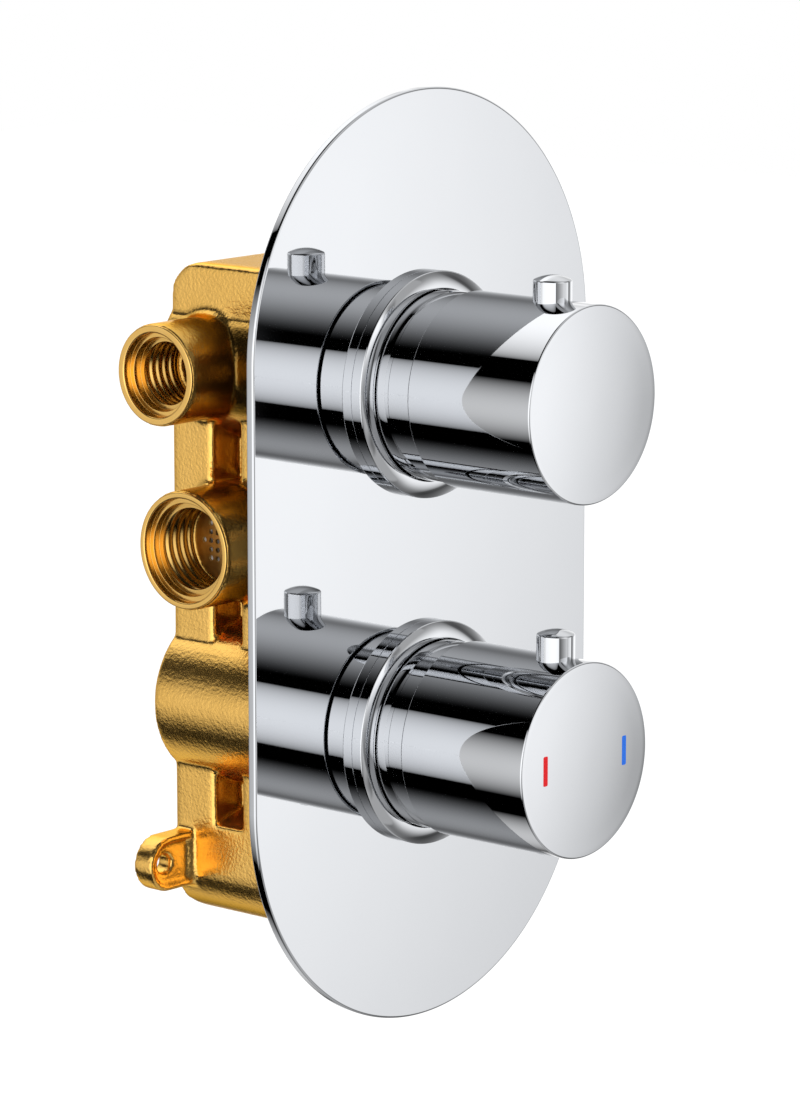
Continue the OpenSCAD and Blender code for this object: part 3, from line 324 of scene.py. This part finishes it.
def thicken(bm, low, high):
    """Fills a set of outlines and gives the sheet its thickness."""
    bmesh.ops.triangle_fill(bm, edges=bm.edges, use_beauty=True)
    bmesh.ops.translate(bm, verts=bm.verts, vec=(0, low, 0))
    grown = bmesh.ops.extrude_face_region(bm, geom=bm.faces[:])["geom"]
    bmesh.ops.translate(bm, verts=[g for g in grown if isinstance(g, bmesh.types.BMVert)],
                        vec=(0, high - low, 0))


def blank(name, bm):
    """A bmesh as a piece in the rough, for modifiers to work on."""
    mesh = bpy.data.meshes.new(name)
    bm.to_mesh(mesh)
    bm.free()
    rough = bpy.data.objects.new(name, mesh)
    scene.collection.objects.link(rough)
    return rough


def bore_out(rough, tool, overlapping=False):
    """Cuts a tool's shape from a piece in the rough. The tool's own parts may overlap."""
    cut = rough.modifiers.new("cut", "BOOLEAN")
    cut.operation, cut.solver, cut.object = "DIFFERENCE", "EXACT", tool
    cut.use_self = overlapping


def worked(rough, tool):
    """What its modifiers leave of a piece in the rough, as a bmesh. Both objects go."""
    sight = bpy.context.evaluated_depsgraph_get()
    mesh = bpy.data.meshes.new_from_object(rough.evaluated_get(sight))
    bm = bmesh.new()
    bm.from_mesh(mesh)
    bpy.data.meshes.remove(mesh)
    for spent in (rough, tool):
        bpy.data.objects.remove(spent)
    return bm


def cut_away(bm, tool):
    """What is left of a bmesh when a tool's shape is cut from it."""
    for shape in (bm, tool):
        bmesh.ops.remove_doubles(shape, verts=shape.verts, dist=0.001 * MM)
        bmesh.ops.recalc_face_normals(shape, faces=shape.faces)
    rough, cutter = blank("blank", bm), blank("tool", tool)
    bore_out(rough, cutter)
    return worked(rough, cutter)


bm = bmesh.new()
stadium(bm, plate_r)
for z in (handle_z, -handle_z):
    bmesh.ops.create_circle(bm, segments=160, radius=hole_r,
                            matrix=Matrix.Translation((0, 0, z)) @ lying)
thicken(bm, plate_low.y, plate_high.y)
edge = [e for e in bm.edges if len(e.link_faces) == 2
        and abs(e.calc_face_angle(0)) > 1 and all(
            math.hypot(v.co.x, max(abs(v.co.z) - plate_c, 0)) > plate_r - 0.1 * MM
            for v in e.verts)]
bmesh.ops.bevel(bm, geom=edge, offset=plate_round, offset_type="OFFSET", segments=5,
                profile=0.5, affect="EDGES", material=-1)
seal_low, seal_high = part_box("plate_gasket")
seal_w = 5 * MM
seal_gap = 0.05 * MM
groove_through = 1 * MM
groove = bmesh.new()
stadium(groove, seal_high.x + seal_gap)
stadium(groove, seal_high.x - seal_w + seal_gap)
thicken(groove, seal_low.y, groove_through)
bm = cut_away(bm, groove)
made("cover_plate", bm, plate_chrome, "polished_chrome", "valve", "face_plate")


def rubber_shade(finish, spots):
    dust = noise(finish, spots, 0.25, 4)
    grain = noise(finish, spots, 4, 3)
    return {"Base Color": finish.mix(dust, (0.016, 0.016, 0.018, 1), (0.04, 0.039, 0.037, 1)),
            "Roughness": dust * 0.2 + 0.55, "Normal": bump(finish, grain, 0.02)}


rubber = material("black_rubber", rubber_shade)


def dress(finish, *names):
    """Gives CAD pieces their material."""
    for name in names:
        for hold in nodes[name].material_slots:
            hold.material = finish


dress(rubber, "plate_gasket")


# The collars: turned brass rings, chromed, with a crowned front. A spigot passes the plate
# and takes a thin nut behind it, and an o-ring inside keeps water off the sleeve.
def turned(corners, steps=224, soft=6):
    """A turned piece about Y. Its outline's corners have a radius, a station and a fillet."""
    bm = bmesh.new()
    points = [bm.verts.new((r * MM, y * MM, 0)) for r, y, fillet in corners]
    bm.faces.new(points)
    for size in sorted({fillet for r, y, fillet in corners if fillet}):
        bmesh.ops.bevel(bm, geom=[p for p, c in zip(points, corners) if c[2] == size],
                        offset=size * MM, offset_type="OFFSET", segments=soft, profile=0.5,
                        affect="VERTICES", material=-1)
    bmesh.ops.delete(bm, geom=bm.faces[:], context="FACES_ONLY")
    axis = [e for e in bm.edges if all(v.co.x < 1e-7 for v in e.verts)]
    bmesh.ops.delete(bm, geom=axis, context="EDGES")
    bmesh.ops.spin(bm, geom=bm.verts[:] + bm.edges[:], cent=(0, 0, 0), axis=(0, 1, 0),
                   angle=2 * math.pi, steps=steps, use_merge=True)
    return bm


def at(x=0, y=0, z=0, turn=0, about="X"):
    return Matrix.Translation((x, y, z)) @ Matrix.Rotation(math.radians(turn), 4, about)


collar_r = collar_high.x / MM
bore_r = 27.5
spigot_r = 29.7
collar_front = collar_low.y / MM
plate_front = plate_low.y / MM
collar_back = collar_high.y / MM
crest = 27.8
crest_round = 10.7
crest_proud = 0.6
face_steps = 14
for name, side in (("collar_upper", 1), ("collar_lower", -1)):
    face = []
    for i in range(face_steps + 1):
        r = collar_r + (bore_r - collar_r) * i / face_steps
        fillet = {0: 0.3, face_steps: 0.25}.get(i, 0)
        fall = (r - crest) ** 2 / 2 / crest_round
        face.append((r, collar_front - crest_proud + fall, fillet))
    ring = turned(face + [
        (bore_r, collar_back, 0.2), (spigot_r, collar_back, 0.3), (spigot_r, plate_front, 0),
        (collar_r, plate_front, 0.15)])
    made(name.replace("collar", "cover_collar"), ring, chrome, "polished_chrome", "valve", name,
         place=at(z=side * handle_z))


# The sleeves: chromed tubes that cover the spindles from the body to just behind the knobs,
# and the split rings, sprung into a groove in each, that index the knob.
dress(chrome, "sleeve_upper", "sleeve_lower", "index_rings")


# The knobs: zinc die-cast cups, chromed, with a faintly crowned face. A hub inside takes the
# splined insert, and a grub screw locks the knob. The lower one is drilled underneath for the
# override button.
crown = 0.32
crown_reach = 0.93
crown_fall = 1.12
knob_fillet = 0.5
wall = 2.3
face_t = 3.2
hub_r = 9
hub_bore_r = 6.55
hub_back = -26
bore_front = -48
spring_low, spring_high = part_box("button_spring")
button_y = (spring_low.y + spring_high.y) / 2 / MM
button_hole_r = 4.6
button_land = 6
drill_out, drill_in = -31, -24


def dome(radius, top, fall, rings):
    """The outline of a dome from its axis out to a radius, where it has fallen so far."""
    return [(radius * i / rings, top + fall * (i / rings) ** 2, 0) for i in range(rings + 1)]


def knob_outline(low, high):
    """The outline of a knob from its axis out, over its face, and round its bore and hub."""
    r, front, back = high.x / MM, low.y / MM, high.y / MM
    inside = front + face_t
    return dome(r * crown_reach, front, crown, 7) + [
        (r, front + crown * crown_fall, knob_fillet), (r, button_y - button_land, 0),
        (r, button_y + button_land, 0), (r, back, 0.25), (r - wall, back, 0.25),
        (r - wall, inside, 0.6), (hub_r, inside, 0.6), (hub_r, hub_back, 0.3),
        (hub_bore_r, hub_back, 0.3), (hub_bore_r, bore_front, 0), (0, bore_front, 0)]


for name, side in (("upper", 1), ("lower", -1)):
    bm = turned(knob_outline(*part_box("knob_" + name)), steps=288)
    if name == "lower":
        drill = turned([(0, drill_out, 0), (button_hole_r, drill_out, 0),
                        (button_hole_r, drill_in, 0), (0, drill_in, 0)], steps=64)
        bmesh.ops.transform(drill, matrix=at(y=button_y * MM, turn=90), verts=drill.verts)
        bm = cut_away(bm, drill)
    made("handle_knob_" + name, bm, chrome, "polished_chrome", name + "_handle",
         "knob_" + name, place=at(z=side * handle_z))


def steel_shade(finish, spots):
    grain = noise(finish, spots, 1.5, 3)
    return {"Base Color": finish.mix(grain, (0.52, 0.52, 0.53, 1), (0.64, 0.64, 0.64, 1)),
            "Metallic": 1, "Roughness": grain * 0.15 + 0.22,
            "Normal": bump(finish, grain, 0.006)}


def plastic_shade(finish, spots):
    cloud = noise(finish, spots, 0.1, 2)
    grain = noise(finish, spots, 3, 2)
    return {"Base Color": finish.mix(cloud, (0.72, 0.71, 0.68, 1), (0.80, 0.79, 0.77, 1)),
            "Roughness": cloud * 0.1 + 0.38, "Normal": bump(finish, grain, 0.008)}


steel = material("steel", steel_shade)
plastic = material("white_plastic", plastic_shade)
dress(plastic, "knob_insert_upper", "knob_insert_lower", "limit_ring")
dress(steel, "grub_screw_upper", "grub_screw_lower")


# The lever pins: short turned studs with a low dome, screwed into the knobs and chromed.
pin_dome = 1.4
pin_reach = 0.9
pin_seat = 26.65
shank_r = 3
for name, side in (("upper", 1), ("lower", -1)):
    low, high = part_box("lever_pin_" + name)
    r = high.x / MM
    top = high.z / MM - side * handle_z / MM
    base = low.z / MM - side * handle_z / MM
    pin = turned(dome(r * pin_reach, top, -pin_dome * pin_reach ** 2, 5) + [
        (r, top - pin_dome, 0.45), (r, pin_seat, 0.3), (shank_r, pin_seat, 0),
        (shank_r, base, 0.3), (0, base, 0)], steps=96)
    made("handle_pin_" + name, pin, chrome, "polished_chrome", name + "_handle",
         "lever_pin_" + name, place=at(y=(low.y + high.y) / 2, z=side * handle_z, turn=90))


# The temperature marks: two enamel-filled bars let into the lower knob's face, red for hot
# and blue for cold.
def enamel(name, deep, light):
    def shade(finish, spots):
        cloud = noise(finish, spots, 0.6, 3)
        return {"Base Color": finish.mix(cloud, deep, light), "Roughness": cloud * 0.1 + 0.5,
                "Specular IOR Level": 0.12, "Normal": bump(finish, cloud, 0.01)}
    return material(name, shade)


enamels = {"hot": enamel("red_enamel", (0.90, 0.016, 0.022, 1), (0.96, 0.028, 0.034, 1)),
           "cold": enamel("blue_enamel", (0.028, 0.19, 0.90, 1), (0.04, 0.23, 0.96, 1))}
mark_round = 0.5 * MM
mark_edge = 0.12 * MM
mark_sink = 0.03 * MM
knob_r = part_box("knob_lower")[1].x
for name, slot in (("hot", "red_mark"), ("cold", "blue_mark")):
    low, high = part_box(name + "_mark")
    middle = (low + high) / 2
    size = high - low
    share = abs(middle.x) / knob_r / crown_reach
    drop = crown * MM * share ** 2
    bm = bmesh.new()
    bmesh.ops.create_cube(bm, size=1, matrix=Matrix.Diagonal((size.x, size.y, size.z, 1)))
    long_edges = [e for e in bm.edges if abs(e.verts[0].co.y - e.verts[1].co.y) > 0.1 * MM]
    bmesh.ops.bevel(bm, geom=long_edges, offset=mark_round, offset_type="OFFSET", segments=5,
                    profile=0.5, affect="EDGES", material=-1)
    face_edges = [e for e in bm.edges if all(v.co.y < -size.y / 2 + 1e-6 for v in e.verts)]
    bmesh.ops.bevel(bm, geom=face_edges, offset=mark_edge, offset_type="OFFSET", segments=3,
                    profile=0.5, affect="EDGES", material=-1)
    lean = math.copysign(2 * crown * MM * share / (crown_reach * knob_r), middle.x)
    place = Matrix.Translation(middle + Vector((0, drop - mark_sink, 0))) \
        @ Matrix.Rotation(lean, 4, "Z")
    made(name + "_temperature_mark", bm, enamels[name], slot, "lower_handle", name + "_mark",
         place=place)


# The override button: a small domed stud under the lower knob that is pressed to turn past
# the limit temperature, with a coil spring behind it.
dress(chrome, "override_button")


def coil(name, node, radius, wire, turns, axis, body, joint=None, held=1):
    """A coil spring along an axis. With a joint, the piece gets a mesh of its own and the end
    that is held, 0 for the low one and 1 for the high one, is looked up, but nothing squeezes
    the coil."""
    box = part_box(node)
    middle = (box[0] + box[1]) / 2
    height = (box[1] - box[0])[axis] / MM
    length = height - 2 * wire
    bm = bmesh.new()
    section = bmesh.ops.create_circle(
        bm, segments=12, radius=wire * MM,
        matrix=Matrix.Translation((radius * MM, -length / 2 * MM, 0)))["verts"]
    per_turn = 32
    steps = round(turns * per_turn)
    geom = section + list({e for v in section for e in v.link_edges})
    bmesh.ops.spin(bm, geom=geom, cent=(0, 0, 0), axis=(0, 1, 0), angle=2 * math.pi * turns,
                   steps=steps, dvec=(0, length / steps * MM, 0))
    bmesh.ops.holes_fill(bm, edges=[e for e in bm.edges if e.is_boundary], sides=0)
    lay = {0: Matrix.Rotation(math.pi / 2, 4, "Z"), 1: Matrix(), 2: lying}[axis]
    piece = made(name, bm, steel, "steel", body, node, place=Matrix.Translation(middle) @ lay)
    if joint:
        line, anchor = [0, 0, 0], list(middle)
        line[axis], anchor[axis] = 1, box[held][axis]
        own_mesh(piece)


coil("button_coil", "button_spring", 2.05, 0.35, 5, 2, "lower_handle", "button_press")


# The body: sand-cast brass in one piece, with two housings, four port bosses on flared
# roots, a recess down each side and two fixing lugs. Its skin is left as it comes from the
# mould.
def cast_shade(finish, spots):
    patch = noise(finish, spots, 0.05, 3)
    sand = noise(finish, spots, 0.95, 3, 0.55)
    swell = noise(finish, spots, 0.12, 2)
    tint = finish.mix(patch, (0.93, 0.54, 0.12, 1), (0.98, 0.60, 0.17, 1))
    side, deep, up = finish.parts("SeparateXYZ", "X", "Y", "Z", Vector=spots)
    side = side.sum("ABSOLUTE", side)
    # Painted shade: the base colour goes near black in the side recesses, round the roots of the
    # bosses and on their front halves, where the housings and the plate shade the brass.
    proud = side.rise(16.4 * MM, 18.5 * MM) * up.rise(-24 * MM, -19 * MM)
    root = proud * (1 - side.rise(24 * MM, 37 * MM))
    front = proud * (1 - deep.rise(54 * MM, 70 * MM))
    recess = 1 - side.rise(10 * MM, 15 * MM)
    painted_shade = root * 0.45 + front * 0.4 + recess * 0.5
    tint = finish.mix(painted_shade, tint, (0.10, 0.05, 0.008, 1))
    skin = bump(finish, sand, 0.13, bump(finish, swell, 0.08))
    return {"Base Color": tint, "Specular Tint": (1.0, 0.74, 0.34, 1), "Metallic": 0.96,
            "Roughness": sand * 0.08 + patch * 0.05 + 0.12, "Normal": skin}


def turned_shade(finish, spots):
    lines = noise(finish, finish.add("Mapping", None, {"Vector": spots, "Scale": (0.2, 3, 3)}),
                  0.8, 3, 0.6)
    cloud = noise(finish, spots, 0.2, 2)
    # Painted shade: the base colour grows dark inwards from the port rims, deep in the bores and
    # on the turned brass parts inside the body.
    across_body = finish.parts("SeparateXYZ", "X", Vector=spots)[0]
    painted_light_share = across_body.sum("ABSOLUTE", across_body).rise(24 * MM, 39 * MM) * 0.55 + 0.45
    tint = finish.mix(cloud, (0.92, 0.55, 0.14, 1), (0.98, 0.62, 0.20, 1))
    return {"Base Color": finish.mix(painted_light_share, (0.10, 0.05, 0.01, 1), tint),
            "Specular Tint": (1.0, 0.80, 0.46, 1), "Metallic": 1,
            "Roughness": lines * 0.12 + 0.13, "Normal": bump(finish, lines, 0.012)}


cast_brass = material("cast_brass", cast_shade)
turned_brass = material("turned_brass", turned_shade)

# A port's rim is at x, y, z. Mouth, step, thread and rim are radii, and depth is how far the
# mouth and step go in before the thread's length starts.
Port = namedtuple("Port", "x y z mouth step thread depth length rim pitch")
ports = {"outlet": Port(39.6, 66.2, handle_z / MM, 12.3, 10.8, 9.315, 5.4, 14, 14.6, 2.7),
         "inlet": Port(37.5, 57.7, 0, 15.25, 13.655, 12.06, 4.6, 13, 17.1, 3.1)}
facing_cut = 0.45
facing_over = 5
facing_lead = 2
liner_wall = 0.9
bore_short = 0.3
skin_step = 0.75 * MM


def port_place(port, side):
    """A port's place on one side of the body, with its bore running inwards from the rim."""
    return at(side * port.x * MM, port.y * MM, port.z * MM, side * 90, "Z")


bm = bmesh.new()
bm.from_mesh(nodes["valve_body"].data)
bmesh.ops.remove_doubles(bm, verts=bm.verts, dist=0.001 * MM)
casting = blank("cast_body", bm)
bm = bmesh.new()
for port in ports.values():
    across_bore, along_bore = port.mouth + liner_wall, port.depth + port.length - bore_short
    across_rim = port.rim + facing_over
    for side in (-1, 1):
        for wide, low, high in ((across_bore, 0, along_bore),
                                (across_rim, -facing_lead, facing_cut)):
            tool = turned([(0, low, 0), (wide, low, 0), (wide, high, 0), (0, high, 0)], steps=96)
            bmesh.ops.remove_doubles(tool, verts=tool.verts, dist=0.001 * MM)
            bmesh.ops.transform(tool, verts=tool.verts, matrix=port_place(port, side))
            spare = bpy.data.meshes.new("spare")
            tool.to_mesh(spare)
            tool.free()
            bm.from_mesh(spare)
            bpy.data.meshes.remove(spare)
bmesh.ops.recalc_face_normals(bm, faces=bm.faces)
cutters = blank("port_cutters", bm)
bore_out(casting, cutters, overlapping=True)
remesh = casting.modifiers.new("cast_skin", "REMESH")
remesh.mode = "VOXEL"
remesh.voxel_size = skin_step
thin = casting.modifiers.new("fewer_faces", "DECIMATE")
thin.ratio = 0.5
bm = worked(casting, cutters)
for _ in range(2):
    bmesh.ops.smooth_vert(bm, verts=bm.verts, factor=0.5, use_axis_x=True, use_axis_y=True,
                          use_axis_z=True)
skin = bpy.data.meshes.new("cast_body")
bm.to_mesh(skin)
bm.free()
set_out("cast_body", skin, cast_brass, "cast_brass", "valve", "valve_body", crease=180)


# The ports: the faced rims and the bores of the four bosses, turned in the casting. Each has
# a wide mouth, a step and a pipe thread that starts and runs out gently.
liner_gap = 0.05
facing_lap = 0.2
thread_row = 0.16
thread_share = 0.3
run_in, run_out = 0.8, 2
for name, port in ports.items():
    depth, thread = port.depth, port.thread
    outer, back = port.mouth + liner_wall, facing_cut + facing_lap
    end = depth + port.length - bore_short - liner_gap
    rows = round((end - depth) / thread_row)
    threaded = [(thread, end + (depth - end) * i / rows, 0) for i in range(rows + 1)]
    for side, hand in ((-1, "left"), (1, "right")):
        bm = turned([(port.rim, 0, 0.35), (port.rim, back, 0), (outer, back, 0), (outer, end, 0)]
                    + threaded + [(port.step, depth, 0.15), (port.step, depth / 2, 0.15),
                                  (port.mouth, depth / 2, 0.15), (port.mouth, 0, 0.5)],
                    steps=120, soft=3)
        bmesh.ops.remove_doubles(bm, verts=bm.verts, dist=0.002 * MM)
        for v in bm.verts:
            r = math.hypot(v.co.x, v.co.z) / MM
            h = v.co.y / MM
            if abs(r - thread) < 0.01 and depth + 0.1 < h < end - 0.1:
                phase = h / port.pitch - math.atan2(v.co.z, v.co.x) / (2 * math.pi)
                tooth = (0.5 - 0.5 * math.cos(2 * math.pi * phase)) ** 2
                fade = min(1, (h - depth) / run_in, (end - h) / run_out)
                grow = 1 + thread_share * port.pitch * tooth * fade / r
                v.co.x *= grow
                v.co.z *= grow
        made(f"{name}_{hand}_port", bm, turned_brass, "turned_brass", "valve",
             place=port_place(port, side))


# The cartridges and what is behind the ports: nuts, spindles, discs, wax element, springs,
# check valves and strainers, held in the body's bores and seen only through its openings.
def ceramic_shade(finish, spots):
    cloud = noise(finish, spots, 0.3, 3)
    return {"Base Color": finish.mix(cloud, (0.78, 0.77, 0.72, 1), (0.84, 0.83, 0.80, 1)),
            "Roughness": cloud * 0.08 + 0.18, "Normal": bump(finish, cloud, 0.004)}


def copper_shade(finish, spots):
    stain = noise(finish, spots, 0.3, 4)
    return {"Base Color": finish.mix(stain, (0.70, 0.30, 0.17, 1), (0.86, 0.44, 0.28, 1)),
            "Metallic": 1, "Roughness": stain * 0.2 + 0.2, "Normal": bump(finish, stain, 0.01)}


def sieve_shade(finish, spots):
    stain = noise(finish, spots, 0.4, 3)
    return {"Base Color": finish.mix(stain, (0.42, 0.24, 0.07, 1), (0.62, 0.39, 0.13, 1)),
            "Metallic": 1, "Roughness": stain * 0.2 + 0.22, "Normal": bump(finish, stain, 0.02)}


ceramic = material("ceramic", ceramic_shade)
copper = material("copper", copper_shade)
finishes = {"steel": steel, "ceramic": ceramic, "white_plastic": plastic, "rubber": rubber,
            "copper": copper, "turned_brass": turned_brass, "polished_chrome": chrome}
for node in nodes.values():
    if not node.hide_render:
        for hold in node.material_slots:
            plain_name = hold.material.name.split(".")[0]
            hold.material = finishes.get(plain_name, hold.material)

coil("regulator_return_coil", "return_spring", 9.55, 0.4, 2, 1, "valve", "regulator_slide")
coil("check_coil_left", "poppet_spring_left", 1.6, 0.2, 3, 0, "valve", "left_check_slide")
coil("check_coil_right", "poppet_spring_right", 1.6, 0.2, 3, 0, "valve", "right_check_slide",
     held=0)
coil("overload_coil", "overload_spring", 5.65, 0.5, 2, 1, "regulator")
dress(material("bronze_sieve", sieve_shade), "inlet_strainers")
